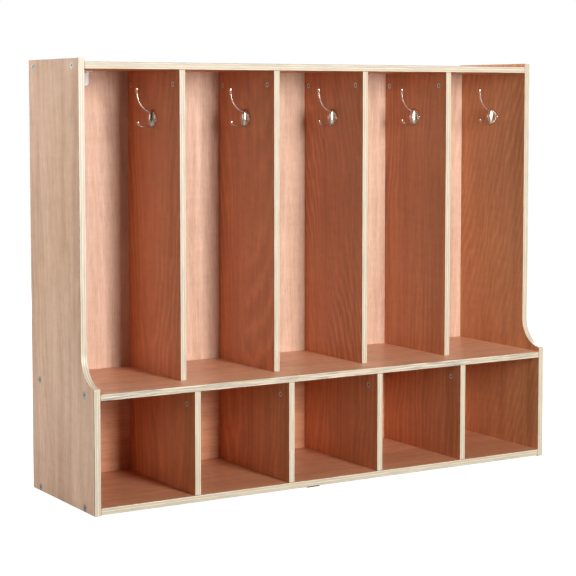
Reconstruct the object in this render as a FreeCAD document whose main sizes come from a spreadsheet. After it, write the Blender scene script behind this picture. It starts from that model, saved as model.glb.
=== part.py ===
"""School coat locker: five open bays over a bench, with five cubbies below the bench.

Plywood boards stand between two stepped side panels.  Connector bolts and barrel nuts hold the
top, bench and bottom panels, cam locks and dowels hold the dividers, and thin back panels sit in
grooves in the sides.  The frame is in millimetres: the origin is on the floor at the middle of the
footprint, +X runs to the right, +Y runs to the wall and +Z runs up.
"""
import FreeCAD, Part

import math
import os
import re

import Sketcher
from FreeCAD import Placement, Rotation, Vector

doc = FreeCAD.newDocument("school_locker")
sheet = doc.addObject("Spreadsheet::Sheet", "Sizes")

# Driving dimensions in millimetres: alias, value, meaning.
DRIVING = [
    ("overall_width", 1212.0, "outer face to outer face of the side panels"),
    ("overall_depth", 330.2, "bench front to the rear edge of the side panels"),
    ("overall_height", 965.2, "floor to the top of the side panels"),
    ("board", 15.0, "thickness of every plywood board"),
    ("back_board", 5.0, "thickness of the back panels"),
    ("setback", 65.0, "front of the upper bays behind the front of the bench"),
    ("bench_height", 260.0, "floor to the seat face of the bench"),
    ("floor_gap", 2.0, "underside of the bottom panel above the floor"),
    ("top_drop", 8.0, "upper face of the top panel below the top of the sides"),
    ("back_inset", 5.0, "rear face of the back panels in front of the sides' rear edge"),
    ("back_margin", 2.0, "back panels' outer edges inside the top and bottom panels' faces"),
    ("back_seam", 0.5, "gap between the two back panels"),
    ("groove_depth", 6.0, "depth of the side panels' grooves for the back panels"),
    ("fit_gap", 0.4, "play of a back panel in its groove"),
    ("sweep_radius", 66.0, "hollow curve of the side panel above the bench"),
    ("sweep_top", 337.0, "height where the hollow curve meets the upright edge"),
    ("nose_radius", 3.0, "round corner of the side panel at the bench front"),
    ("edge_round", 1.5, "easing of the boards' exposed edges"),
    ("bolt_shank", 6.0, "diameter of a connector bolt"),
    ("bolt_length", 48.0, "connector bolt, outer face of the head to the tip"),
    ("bolt_head", 17.0, "diameter of a connector bolt's flat head"),
    ("bolt_head_height", 2.5, "thickness of a connector bolt's flat head"),
    ("bolt_hole", 6.5, "hole for a connector bolt"),
    ("socket_radius", 2.4, "hex socket, centre to corner"),
    ("nut_diameter", 10.0, "barrel nut"),
    ("nut_length", 12.0, "barrel nut"),
    ("nut_inset", 26.0, "barrel nut axis from the end of its board"),
    ("cam_diameter", 15.0, "cam lock"),
    ("cam_depth", 12.0, "cam lock"),
    ("cam_drop", 31.5, "cam lock axis below the panel it pulls on"),
    ("cam_bolt", 7.0, "diameter of a cam bolt's smooth part"),
    ("cam_bolt_neck", 4.0, "diameter of a cam bolt where the cam grips it"),
    ("cam_bolt_thread", 5.0, "diameter of a cam bolt's threaded part"),
    ("cam_bolt_grip", 11.0, "length of a cam bolt in the panel above"),
    ("dowel_diameter", 8.0, "wooden dowel"),
    ("dowel_length", 28.0, "wooden dowel"),
    ("dowel_sink", 9.0, "length of a dowel in the horizontal panel"),
    ("screw_shank", 3.2, "wood screw shank diameter"),
    ("screw_head", 7.0, "wood screw head diameter"),
    ("screw_head_height", 2.0, "wood screw head height"),
    ("screw_bite", 12.0, "length of a wood screw's shank in the board behind"),
    ("hook_plate_width", 43.0, "coat hook's oval plate, along Y"),
    ("hook_plate_height", 34.0, "coat hook's oval plate, along Z"),
    ("hook_plate_rise", 3.0, "crown of a coat hook's plate off the board"),
    ("hook_seat", 1.2, "seat of a screw head in the plate, off the board"),
    ("hook_spine", 42.0, "height of a coat hook's upright spine"),
    ("hook_spine_width", 12.0, "width of a coat hook's upright spine"),
    ("hook_spine_rise", 12.5, "crown of a coat hook's spine off the board"),
    ("hook_screw_spacing", 30.0, "between a coat hook's two screws"),
    ("hook_height", 835.0, "floor to the middle of a coat hook's plate"),
    ("prong", 5.0, "diameter of a coat hook's prongs"),
    ("prong_tip", 6.6, "diameter of the ball at a prong's tip"),
    ("prong_reach", 40.0, "board face to the axis of the upper prong's tip"),
    ("prong_radius", 48.0, "curve of the upper prong"),
    ("prong_bend", 60.0, "centre of the upper prong's curve above the middle of the plate"),
    ("prong_top", 66.0, "tip of the upper prong above the middle of the plate"),
    ("prong_root", 4.0, "board face to the prongs' roots inside the spine"),
    ("small_run", 23.0, "board face to the start of the lower prong's bend"),
    ("small_radius", 16.0, "bend of the lower prong"),
    ("small_drop", 18.5, "lower prong's straight run below the middle of the plate"),
    ("bracket_width", 26.0, "angle bracket along X"),
    ("bracket_leg", 33.0, "angle bracket's upright leg"),
    ("bracket_foot", 30.0, "angle bracket's leg under the top panel"),
    ("bracket_plate", 2.0, "angle bracket's thickness"),
    ("bracket_corner", 6.0, "rounding of the angle bracket's free corners"),
    ("wall_hole", 5.5, "hole through the bracket and the back panel for a wall screw"),
    ("wall_hole_height", 14.0, "wall screw hole above the foot of the upright leg"),
    ("glide_length", 32.0, "floor glide along X"),
    ("glide_width", 25.0, "floor glide along Y"),
]

# Dimensions that follow from the driving ones: alias, formula, meaning.
DERIVED = [
    ("bay_width", "=(overall_width - 6 * board) / 5", "clear width of a bay"),
    ("bay_pitch", "=bay_width + board", "from one divider to the next"),
    ("inner_width", "=overall_width - 2 * board", "between the side panels"),
    ("inner_depth", "=overall_depth - back_inset - back_board", "bench front to the back panels"),
    ("upper_depth", "=inner_depth - setback", "upper divider front to the back panel"),
    ("bench_under", "=bench_height - board", "floor to the underside of the bench"),
    ("top_upper", "=overall_height - top_drop", "floor to the upper face of the top panel"),
    ("top_under", "=top_upper - board", "floor to the underside of the top panel"),
    ("base_top", "=floor_gap + board", "floor to the upper face of the bottom panel"),
    ("upper_height", "=top_under - bench_height", "height of an upper divider"),
    ("lower_height", "=bench_under - base_top", "height of a lower divider"),
    ("back_low", "=floor_gap + back_margin", "lower edge of the lower back panel"),
    ("back_high", "=top_upper - back_margin", "upper edge of the upper back panel"),
    ("back_middle", "=bench_height - board / 2", "height of the seam between the back panels"),
    ("back_width", "=inner_width + 2 * (groove_depth - fit_gap)", "back panel along X"),
    ("left_edge", "=-overall_width / 2", "outer face of the left side panel"),
    ("front_edge", "=-overall_depth / 2", "front of the bench"),
    ("dowel_stand", "=dowel_length - dowel_sink", "length of a dowel in a divider"),
    ("bolt_reach", "=bolt_length - board", "length of a connector bolt in the panel's end"),
    ("nut_base", "=(board - nut_length) / 2", "barrel nut above the underside of its board"),
    ("bay_centre", "=bay_width / 2 + board", "middle of the first bay from the side's outer face"),
]

BAYS = 5
DIVIDERS = range(1, BAYS)

# Places along the depth, in millimetres behind the front of the bench.
TOP_BOLTS_Y = (99.0, 305.0)
BENCH_BOLTS_Y = (49.0, 286.0)
BASE_BOLTS_Y = (50.0, 287.0)
UPPER_CAMS_Y = (96.0, 303.0)
LOWER_CAMS_Y = (38.0,)
UPPER_DOWELS_Y = (120.0, 265.0)
LOWER_DOWELS_Y = (80.0, 250.0)
BENCH_DOWELS_Y = (235.0,)
HOOK_Y = 192.5
GLIDES_Y = (14.0, 280.0)
GLIDE_X = -61.5
BRACKET_SCREWS_Y = (6.0, 14.0)

# Heights of the back panels' screws above each divider's foot.
UPPER_SCREW_HEIGHTS = (90.0, 340.0, 590.0)
LOWER_SCREW_HEIGHTS = (115.0,)

# Bay middles take the screws along the edges of the back panels, so they miss the dividers.
BAY_MIDDLES = [f"bay_centre - board + {index} * bay_pitch" for index in range(BAYS)]

subparts = []


# Sheet and expressions

def fill_sheet():
    """Write every dimension into the sheet, with its alias on the value."""
    for row, (alias, value, meaning) in enumerate(DRIVING + DERIVED, start=1):
        sheet.set(f"A{row}", meaning)
        sheet.set(f"B{row}", str(value))
        sheet.setAlias(f"B{row}", alias)
    doc.recompute()


def bound(text):
    """Expression in which every word is a cell of the sheet."""
    return re.sub(r"\b([a-z][a-z_]+)\b", r"Sizes.\1", str(text))


def value(text):
    """Present value of such an expression."""
    return float(sheet.evalExpression(bound(text)))


def place(thing, x, y, z):
    """Bind a thing's position to the sheet."""
    for axis, text in zip("xyz", (x, y, z)):
        thing.setExpression("Placement.Base." + axis, bound(text))


# Bodies and features

def new_body(name):
    """Empty body that becomes one named sub-part."""
    body = doc.addObject("PartDesign::Body", name)
    body.Label = name
    subparts.append(body)
    return body


def origin_plane(body, role):
    """One of the body's own origin planes."""
    return next(item for item in body.Origin.OriginFeatures if item.Role == role)


def new_sketch(body, role, offset="0"):
    """Sketch on an origin plane of the body, moved along the plane's normal."""
    sketch = body.newObject("Sketcher::SketchObject", body.Name + "_sketch")
    sketch.AttachmentSupport = (origin_plane(body, role), [""])
    sketch.MapMode = "FlatFace"
    sketch.setExpression("AttachmentOffset.Base.z", bound(offset))
    return sketch


def drive(sketch, text, kind, *where):
    """Dimension of a sketch, bound to the sheet."""
    index = sketch.addConstraint(Sketcher.Constraint(kind, *where, value(text)))
    sketch.setExpression(f"Constraints[{index}]", bound(text))


def outline(sketch, points):
    """Closed outline of straight lines whose corners are bound to the sheet."""
    corners = [Vector(value(across), value(along), 0) for across, along in points]
    first = sketch.GeometryCount
    count = len(corners)
    for index in range(count):
        sketch.addGeometry(Part.LineSegment(corners[index], corners[(index + 1) % count]))
    for index in range(count):
        after = first + (index + 1) % count
        sketch.addConstraint(Sketcher.Constraint("Coincident", first + index, 2, after, 1))
    for index, (across, along) in enumerate(points):
        drive(sketch, across, "DistanceX", -1, 1, first + index, 1)
        drive(sketch, along, "DistanceY", -1, 1, first + index, 1)


def rectangle(sketch, left, low, width, height):
    """Rectangle from its lower left corner."""
    right = f"{left} + {width}"
    high = f"{low} + {height}"
    outline(sketch, [(left, low), (right, low), (right, high), (left, high)])


def circle(sketch, across, along, diameter):
    """Circle with its centre and diameter bound to the sheet."""
    centre = Vector(value(across), value(along), 0)
    ring = sketch.addGeometry(Part.Circle(centre, Vector(0, 0, 1), value(diameter) / 2))
    drive(sketch, across, "DistanceX", -1, 1, ring, 3)
    drive(sketch, along, "DistanceY", -1, 1, ring, 3)
    drive(sketch, diameter, "Diameter", ring)


def pad(body, sketch, length, reverse=False):
    """Grow a sketch into a solid."""
    feature = body.newObject("PartDesign::Pad", body.Name + "_pad")
    feature.Profile = sketch
    feature.Reversed = reverse
    feature.setExpression("Length", bound(length))
    doc.recompute()


def pocket(body, sketch, depth, along_normal):
    """Cut a sketch into the body, along the sketch's normal or against it."""
    before = body.Shape.Volume
    feature = body.newObject("PartDesign::Pocket", body.Name + "_pocket")
    feature.Profile = sketch
    feature.Reversed = along_normal
    feature.setExpression("Length", bound(depth))
    doc.recompute()
    if body.Shape.Volume >= before:
        raise RuntimeError(f"{feature.Name} cuts nothing")


def bores(body, role, offset, centres, diameter, depth, along_normal):
    """Round holes of one size, drilled from one plane of the body."""
    sketch = new_sketch(body, role, offset)
    for across, along in centres:
        circle(sketch, across, along, diameter)
    pocket(body, sketch, depth, along_normal)


def ease(body, chosen, radius="edge_round"):
    """Round the edges that the test accepts."""
    base = body.Tip
    edges = [f"Edge{number}" for number, edge in enumerate(base.Shape.Edges, start=1) if chosen(edge)]
    feature = body.newObject("PartDesign::Fillet", body.Name + "_round")
    feature.Base = (base, edges)
    feature.setExpression("Radius", bound(radius))
    doc.recompute()


def on_front(edge):
    """True for an edge in the front face of a board."""
    return edge.BoundBox.YMax < 0.01


def on_broad_face(edge):
    """True for an edge in either broad face of an upright board."""
    return edge.BoundBox.XMax < 0.01 or edge.BoundBox.XMin > value("board") - 0.01


def new_board(name, width, depth, height):
    """Rectangular board with its lower front left corner at the body's origin."""
    body = new_body(name)
    sketch = new_sketch(body, "XY_Plane")
    rectangle(sketch, "0", "0", width, depth)
    pad(body, sketch, height)
    return body


# Side panels

def side_outline(sketch):
    """Stepped side panel, seen from the side: front edges on the left, floor at the bottom."""
    nose = value("nose_radius")
    sweep = value("sweep_radius")
    front = value("setback")
    rear = value("overall_depth")
    high = value("overall_height")
    sweep_centre = Vector(front - sweep, value("sweep_top"), 0)
    fall = math.sqrt((sweep + nose) ** 2 - (nose - sweep_centre.x) ** 2)
    nose_centre = Vector(nose, sweep_centre.y - fall, 0)
    toward_sweep = math.atan2(fall, sweep_centre.x - nose)

    normal = Vector(0, 0, 1)
    meeting = nose_centre + Vector(math.cos(toward_sweep), math.sin(toward_sweep), 0) * nose
    shoulder = Vector(0, nose_centre.y, 0)
    tangent = Vector(front, sweep_centre.y, 0)
    pieces = [
        Part.LineSegment(Vector(rear, 0, 0), Vector(0, 0, 0)),
        Part.LineSegment(Vector(0, 0, 0), shoulder),
        Part.ArcOfCircle(Part.Circle(nose_centre, normal, nose), toward_sweep, math.pi),
        Part.ArcOfCircle(Part.Circle(sweep_centre, normal, sweep), toward_sweep - math.pi, 0),
        Part.LineSegment(tangent, Vector(front, high, 0)),
        Part.LineSegment(Vector(front, high, 0), Vector(rear, high, 0)),
        Part.LineSegment(Vector(rear, high, 0), Vector(rear, 0, 0)),
    ]
    if (meeting - pieces[3].StartPoint).Length > 0.01:
        raise RuntimeError("the side panel's two curves don't meet")
    for piece in pieces:
        sketch.addGeometry(piece)

    floor, low_front, corner, hollow, high_front, crown, rear_edge = range(7)
    ties = [
        ("Coincident", floor, 2, low_front, 1),
        ("Tangent", low_front, 2, corner, 2),
        ("Tangent", corner, 1, hollow, 1),
        ("Tangent", hollow, 2, high_front, 1),
        ("Coincident", high_front, 2, crown, 1),
        ("Coincident", crown, 2, rear_edge, 1),
        ("Coincident", rear_edge, 2, floor, 1),
        ("Coincident", floor, 2, -1, 1),
        ("Horizontal", floor),
        ("Vertical", low_front),
        ("Vertical", high_front),
        ("Horizontal", crown),
        ("Vertical", rear_edge),
    ]
    for tie in ties:
        sketch.addConstraint(Sketcher.Constraint(*tie))
    drive(sketch, "overall_depth", "DistanceX", -1, 1, floor, 1)
    drive(sketch, "overall_height", "DistanceY", -1, 1, crown, 1)
    drive(sketch, "setback", "DistanceX", -1, 1, high_front, 1)
    drive(sketch, "sweep_top", "DistanceY", -1, 1, high_front, 1)
    drive(sketch, "nose_radius", "Radius", corner)
    drive(sketch, "sweep_radius", "Radius", hollow)


def bolt_places():
    """Depth behind the bench front and height of every connector bolt in a side panel."""
    rows = [
        (TOP_BOLTS_Y, "top_under + board / 2"),
        (BENCH_BOLTS_Y, "bench_under + board / 2"),
        (BASE_BOLTS_Y, "floor_gap + board / 2"),
    ]
    return [(depth, height) for depths, height in rows for depth in depths]


def make_side_panel(name, x, outer, outer_inward, inner, inner_inward):
    """Side panel; the outer face takes the bolt heads and the inner face the back panels.

    outer and inner are the two faces' places across the board, and the two flags say whether
    +X points into the board there.
    """
    body = new_body(name)
    sketch = new_sketch(body, "YZ_Plane")
    side_outline(sketch)
    pad(body, sketch, "board")
    ease(body, on_broad_face)
    bores(body, "YZ_Plane", outer, bolt_places(), "bolt_hole", "board", outer_inward)
    bores(body, "YZ_Plane", outer, bolt_places(), "bolt_head", "bolt_head_height", outer_inward)
    groove = new_sketch(body, "YZ_Plane", inner)
    low = "back_low - fit_gap"
    rectangle(groove, "inner_depth", low, "back_board + fit_gap", "back_high - back_low + 2 * fit_gap")
    pocket(body, groove, "groove_depth", inner_inward)
    place(body, x, "front_edge", "0")
    return body


def hook_screw_places(front, foot):
    """Places of a hook's two screws on a board, from the board's front edge and foot."""
    across = f"{HOOK_Y} - {front}"
    height = f"hook_height - {foot}"
    return [(f"{across} - hook_screw_spacing / 2", height), (f"{across} + hook_screw_spacing / 2", height)]


def make_side_panels():
    """Left and right side panels; the right one also carries the last bay's coat hook."""
    make_side_panel("left_side_panel", "left_edge", "0", True, "board", False)
    right = make_side_panel("right_side_panel", "-left_edge - board", "board", False, "0", True)
    bores(right, "YZ_Plane", "0", hook_screw_places("0", "0"), "screw_shank", "screw_bite", True)


# Horizontal panels

def divider_middle(index):
    """Middle of a divider's thickness, from the left end of a horizontal panel."""
    return f"{index} * bay_pitch - board / 2"


def drill_ends(body, bolts_y, front):
    """Connector bolt holes in both ends of a panel, and the barrel nuts' holes underneath."""
    ends = [(f"{depth} - {front}", "board / 2") for depth in bolts_y]
    bores(body, "YZ_Plane", "0", ends, "bolt_hole", "bolt_reach", True)
    bores(body, "YZ_Plane", "inner_width", ends, "bolt_hole", "bolt_reach", False)
    nuts_x = ("nut_inset", "inner_width - nut_inset")
    nuts = [(x, f"{depth} - {front}") for x in nuts_x for depth in bolts_y]
    bores(body, "XY_Plane", "0", nuts, "nut_diameter", "nut_base + nut_length", True)


def divider_holes(depths, front):
    """Places along a panel's broad face over or under every divider."""
    return [(divider_middle(index), f"{depth} - {front}") for index in DIVIDERS for depth in depths]


def bracket_middles():
    """Middles of the two angle brackets, from the left end of a horizontal panel."""
    return ["bay_centre - board", "inner_width - bay_centre + board"]


def bracket_screw_places():
    """Places of the brackets' screws under the top panel."""
    foot = "upper_depth - bracket_foot"
    return [(middle, f"{foot} + {depth}") for middle in bracket_middles() for depth in BRACKET_SCREWS_Y]


def make_top_panel():
    """Top panel, flush with the fronts of the upper dividers."""
    body = new_board("top_panel", "inner_width", "upper_depth", "board")
    ease(body, on_front)
    drill_ends(body, TOP_BOLTS_Y, "setback")
    cams = divider_holes(UPPER_CAMS_Y, "setback")
    bores(body, "XY_Plane", "0", cams, "cam_bolt_thread", "cam_bolt_grip", True)
    bores(body, "XY_Plane", "0", bracket_screw_places(), "screw_shank", "screw_bite", True)
    pilots = [(middle, "board / 2") for middle in BAY_MIDDLES]
    bores(body, "XZ_Plane", "-upper_depth", pilots, "screw_shank", "screw_bite", True)
    place(body, "left_edge + board", "front_edge + setback", "top_under")


def bench_screw_places(above):
    """Places of the back panels' screws in the rear edge of the bench."""
    height = "board * 3 / 4" if above else "board / 4"
    shift = 30 if above else -30
    return [(f"{middle} + {shift}", height) for middle in BAY_MIDDLES]


def make_bench_panel():
    """Bench panel: seat of the locker and roof of the cubbies."""
    body = new_board("bench_panel", "inner_width", "inner_depth", "board")
    ease(body, on_front)
    drill_ends(body, BENCH_BOLTS_Y, "0")
    dowels_above = divider_holes(UPPER_DOWELS_Y, "0")
    bores(body, "XY_Plane", "board", dowels_above, "dowel_diameter", "dowel_sink", False)
    cams = divider_holes(LOWER_CAMS_Y, "0")
    bores(body, "XY_Plane", "0", cams, "cam_bolt_thread", "cam_bolt_grip", True)
    dowels_below = divider_holes(BENCH_DOWELS_Y, "0")
    bores(body, "XY_Plane", "0", dowels_below, "dowel_diameter", "dowel_sink", True)
    pilots = bench_screw_places(True) + bench_screw_places(False)
    bores(body, "XZ_Plane", "-inner_depth", pilots, "screw_shank", "screw_bite", True)
    place(body, "left_edge + board", "front_edge", "bench_under")


def make_bottom_panel():
    """Bottom panel, just clear of the floor."""
    body = new_board("bottom_panel", "inner_width", "inner_depth", "board")
    ease(body, on_front)
    drill_ends(body, BASE_BOLTS_Y, "0")
    dowels = divider_holes(LOWER_DOWELS_Y, "0")
    bores(body, "XY_Plane", "board", dowels, "dowel_diameter", "dowel_sink", False)
    pilots = [(middle, "board / 2") for middle in BAY_MIDDLES]
    bores(body, "XZ_Plane", "-inner_depth", pilots, "screw_shank", "screw_bite", True)
    place(body, "left_edge + board", "front_edge", "floor_gap")


# Dividers

def drill_cams(body, depths, front, height):
    """Cam lock bores in a divider's left face, and the cam bolts' holes in its upper end."""
    faces = [(f"{depth} - {front}", f"{height} - cam_drop") for depth in depths]
    bores(body, "YZ_Plane", "0", faces, "cam_diameter", "cam_depth", True)
    ends = [("board / 2", f"{depth} - {front}") for depth in depths]
    bores(body, "XY_Plane", height, ends, "cam_bolt", "cam_drop", False)


def drill_dowels(body, depths, front, level, upward):
    """Dowel holes in one end of a divider."""
    ends = [("board / 2", f"{depth} - {front}") for depth in depths]
    bores(body, "XY_Plane", level, ends, "dowel_diameter", "dowel_stand", upward)


def make_upper_divider(index):
    """Divider between two bays, with a coat hook on its left face."""
    body = new_board(f"upper_divider_{index}", "board", "upper_depth", "upper_height")
    ease(body, on_front)
    drill_cams(body, UPPER_CAMS_Y, "setback", "upper_height")
    drill_dowels(body, UPPER_DOWELS_Y, "setback", "0", True)
    screws = hook_screw_places("setback", "bench_height")
    bores(body, "YZ_Plane", "0", screws, "screw_shank", "screw_bite", True)
    pilots = [("board / 2", str(height)) for height in UPPER_SCREW_HEIGHTS]
    bores(body, "XZ_Plane", "-upper_depth", pilots, "screw_shank", "screw_bite", True)
    place(body, f"left_edge + {index} * bay_pitch", "front_edge + setback", "bench_height")


def make_lower_divider(index):
    """Divider between two cubbies."""
    body = new_board(f"lower_divider_{index}", "board", "inner_depth", "lower_height")
    ease(body, on_front)
    drill_cams(body, LOWER_CAMS_Y, "0", "lower_height")
    drill_dowels(body, LOWER_DOWELS_Y, "0", "0", True)
    drill_dowels(body, BENCH_DOWELS_Y, "0", "lower_height", False)
    pilots = [("board / 2", str(height)) for height in LOWER_SCREW_HEIGHTS]
    bores(body, "XZ_Plane", "-inner_depth", pilots, "screw_shank", "screw_bite", True)
    place(body, f"left_edge + {index} * bay_pitch", "front_edge", "base_top")


# Back panels

def back_screw_places(heights, foot, edges):
    """Places of a back panel's screws: on every divider, and along the horizontal panels.

    Each place is a distance from the left end of the horizontal panels and a height above the floor.
    """
    upright = [(divider_middle(index), f"{foot} + {height}") for index in DIVIDERS for height in heights]
    return upright + edges


def upper_back_screws():
    """Places of the upper back panel's screws."""
    along_top = [(middle, "top_under + board / 2") for middle in BAY_MIDDLES]
    along_bench = [(x, f"bench_under + {rise}") for x, rise in bench_screw_places(True)]
    return back_screw_places(UPPER_SCREW_HEIGHTS, "bench_height", along_top + along_bench)


def lower_back_screws():
    """Places of the lower back panel's screws."""
    along_base = [(middle, "floor_gap + board / 2") for middle in BAY_MIDDLES]
    along_bench = [(x, f"bench_under + {rise}") for x, rise in bench_screw_places(False)]
    return back_screw_places(LOWER_SCREW_HEIGHTS, "base_top", along_base + along_bench)


def make_back_panel(name, low, high, screws):
    """Thin back panel, seated in the side panels' grooves and screwed to the boards in front."""
    body = new_board(name, "back_width", "back_board", f"{high} - ({low})")
    margin = "groove_depth - fit_gap"
    holes = [(f"{x} + {margin}", f"{height} - ({low})") for x, height in screws]
    bores(body, "XZ_Plane", "0", holes, "screw_shank", "back_board", False)
    place(body, "left_edge + board - groove_depth + fit_gap", "front_edge + inner_depth", low)
    return body


def make_back_panels():
    """Both back panels; the upper one also lets the wall screws through."""
    upper_low = "back_middle + back_seam / 2"
    upper = make_back_panel("upper_back_panel", upper_low, "back_high", upper_back_screws())
    height = f"top_under - bracket_leg + wall_hole_height - ({upper_low})"
    holes = [(f"{middle} + groove_depth - fit_gap", height) for middle in bracket_middles()]
    bores(upper, "XZ_Plane", "0", holes, "wall_hole", "back_board", False)
    make_back_panel("lower_back_panel", "back_low", "back_middle - back_seam / 2", lower_back_screws())


# Coat hooks

def add_half_ellipsoid(body, rise, width, height):
    """Crowned form on the board's face: half of it is cut away where the board is."""
    form = body.newObject("PartDesign::AdditiveEllipsoid", body.Name + "_crown")
    form.setExpression("Radius2", bound(rise))
    form.setExpression("Radius3", bound(f"{width} / 2"))
    form.setExpression("Radius1", bound(f"{height} / 2"))
    doc.recompute()


def add_pipe(body, path, profile):
    """Round bar along a path."""
    before = body.Shape.Volume
    pipe = body.newObject("PartDesign::AdditivePipe", body.Name + "_bar")
    pipe.Profile = profile
    pipe.Spine = (path, [])
    doc.recompute()
    if body.Shape.Volume <= before:
        raise RuntimeError(f"{pipe.Name} adds nothing")


def add_ball(body, x, z):
    """Ball at a prong's tip."""
    ball = body.newObject("PartDesign::AdditiveSphere", body.Name + "_ball")
    ball.AttachmentSupport = (origin_plane(body, "XY_Plane"), [""])
    ball.MapMode = "FlatFace"
    ball.setExpression("Radius", bound("prong_tip / 2"))
    ball.setExpression("AttachmentOffset.Base.x", bound(x))
    ball.setExpression("AttachmentOffset.Base.z", bound(z))
    doc.recompute()


def add_upper_prong(body):
    """Long prong: straight down from its tip, then in one curve to the spine."""
    bend = value("prong_radius")
    reach = value("prong_reach")
    height = value("prong_bend")
    centre = Vector(bend - reach, height, 0)
    root = math.acos((centre.x + value("prong_root")) / bend)
    path = new_sketch(body, "XZ_Plane")
    tip = Vector(-reach, value("prong_top"), 0)
    straight = path.addGeometry(Part.LineSegment(tip, Vector(-reach, height, 0)))
    ring = Part.Circle(centre, Vector(0, 0, 1), bend)
    curve = path.addGeometry(Part.ArcOfCircle(ring, math.pi, math.pi + root))
    path.addConstraint(Sketcher.Constraint("Tangent", straight, 2, curve, 1))
    path.addConstraint(Sketcher.Constraint("Vertical", straight))
    drive(path, "-prong_reach", "DistanceX", -1, 1, straight, 1)
    drive(path, "prong_top", "DistanceY", -1, 1, straight, 1)
    drive(path, "prong_bend", "DistanceY", -1, 1, straight, 2)
    drive(path, "prong_radius", "Radius", curve)
    drive(path, "-prong_root", "DistanceX", -1, 1, curve, 2)
    profile = new_sketch(body, "XY_Plane", "prong_top")
    circle(profile, "-prong_reach", "0", "prong")
    add_pipe(body, path, profile)
    add_ball(body, "-prong_reach", "prong_top")


def add_lower_prong(body):
    """Short prong: straight out of the spine, then bent up at its end."""
    radius = value("small_radius")
    drop = value("small_drop")
    run = value("small_run")
    end = math.radians(70)
    path = new_sketch(body, "XZ_Plane")
    start = Vector(-value("prong_root"), -drop, 0)
    straight = path.addGeometry(Part.LineSegment(start, Vector(-run, -drop, 0)))
    ring = Part.Circle(Vector(-run, radius - drop, 0), Vector(0, 0, 1), radius)
    curve = path.addGeometry(Part.ArcOfCircle(ring, 1.5 * math.pi - end, 1.5 * math.pi))
    path.addConstraint(Sketcher.Constraint("Tangent", straight, 2, curve, 2))
    path.addConstraint(Sketcher.Constraint("Horizontal", straight))
    drive(path, "-prong_root", "DistanceX", -1, 1, straight, 1)
    drive(path, "-small_drop", "DistanceY", -1, 1, straight, 1)
    drive(path, "-small_run", "DistanceX", -1, 1, straight, 2)
    drive(path, "small_radius", "Radius", curve)
    tip_x = "-small_run - small_radius * 0.94"
    tip_z = "small_radius * 0.66 - small_drop"
    drive(path, tip_x, "DistanceX", -1, 1, curve, 1)
    profile = new_sketch(body, "YZ_Plane", "-prong_root")
    circle(profile, "0", "-small_drop", "prong")
    add_pipe(body, path, profile)
    add_ball(body, tip_x, tip_z)


def make_coat_hook(index, x):
    """Double coat hook: oval plate, upright spine, long upper prong and short lower prong."""
    body = new_body(f"coat_hook_{index}")
    add_half_ellipsoid(body, "hook_plate_rise", "hook_plate_width", "hook_plate_height")
    add_half_ellipsoid(body, "hook_spine_rise", "hook_spine_width", "hook_spine")
    behind = new_sketch(body, "YZ_Plane")
    rectangle(behind, "-hook_spine", "-hook_spine", "2 * hook_spine", "2 * hook_spine")
    pocket(body, behind, "board", True)
    add_upper_prong(body)
    add_lower_prong(body)
    screws = [("hook_screw_spacing / 2", "0"), ("-hook_screw_spacing / 2", "0")]
    bores(body, "YZ_Plane", "0", screws, "screw_shank", "hook_plate_rise", False)
    bores(body, "YZ_Plane", "-hook_seat", screws, "screw_head + fit_gap", "hook_plate_rise", False)
    place(body, x, f"front_edge + {HOOK_Y}", "hook_height")


def hook_face(index):
    """Face that carries a coat hook: the left face of the board on the right of a bay."""
    return f"left_edge + {index} * bay_pitch"


# Angle brackets

def make_bracket(name, middle):
    """White angle bracket under the top panel, against the upper back panel."""
    body = new_body(name)
    sketch = new_sketch(body, "YZ_Plane")
    outline(sketch, [
        ("bracket_foot", "0"),
        ("bracket_foot", "bracket_leg"),
        ("0", "bracket_leg"),
        ("0", "bracket_leg - bracket_plate"),
        ("bracket_foot - bracket_plate", "bracket_leg - bracket_plate"),
        ("bracket_foot - bracket_plate", "0"),
    ])
    pad(body, sketch, "bracket_width")
    ease(body, lambda edge: edge.BoundBox.ZMax < 0.01 and edge.BoundBox.XLength < 0.01, "bracket_corner")
    ease(body, lambda edge: edge.BoundBox.YMax < 0.01 and edge.BoundBox.XLength < 0.01, "bracket_corner")
    wall = [("bracket_width / 2", "wall_hole_height")]
    bores(body, "XZ_Plane", "-bracket_foot", wall, "wall_hole", "bracket_plate", True)
    foot = [("bracket_width / 2", str(depth)) for depth in BRACKET_SCREWS_Y]
    bores(body, "XY_Plane", "bracket_leg", foot, "screw_shank", "bracket_plate", False)
    x = f"left_edge + board + {middle} - bracket_width / 2"
    place(body, x, "front_edge + inner_depth - bracket_foot", "top_under - bracket_leg")


# Hardware: one master of each kind, and groups of linked copies

def cylinder(name, diameter, height, base="0"):
    """Cylinder along Z from a height."""
    form = doc.addObject("Part::Cylinder", name)
    form.setExpression("Radius", bound(f"({diameter}) / 2"))
    form.setExpression("Height", bound(height))
    place(form, "0", "0", base)
    return form


def cross_bars(name, span, height, base):
    """Two crossed bars: the form of a screwdriver recess."""
    bars = []
    for tag, length, width in (("_a", span, f"{span} / 4"), ("_b", f"{span} / 4", span)):
        bar = doc.addObject("Part::Box", name + tag)
        bar.setExpression("Length", bound(length))
        bar.setExpression("Width", bound(width))
        bar.setExpression("Height", bound(height))
        place(bar, f"-({length}) / 2", f"-({width}) / 2", base)
        bars.append(bar)
    return bars


def fuse(name, shapes):
    """Several forms made one."""
    form = doc.addObject("Part::MultiFuse", name)
    form.Shapes = shapes
    return form


def cut(name, base, tool):
    """One form less another."""
    form = doc.addObject("Part::Cut", name)
    form.Base = base
    form.Tool = tool
    return form


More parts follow.
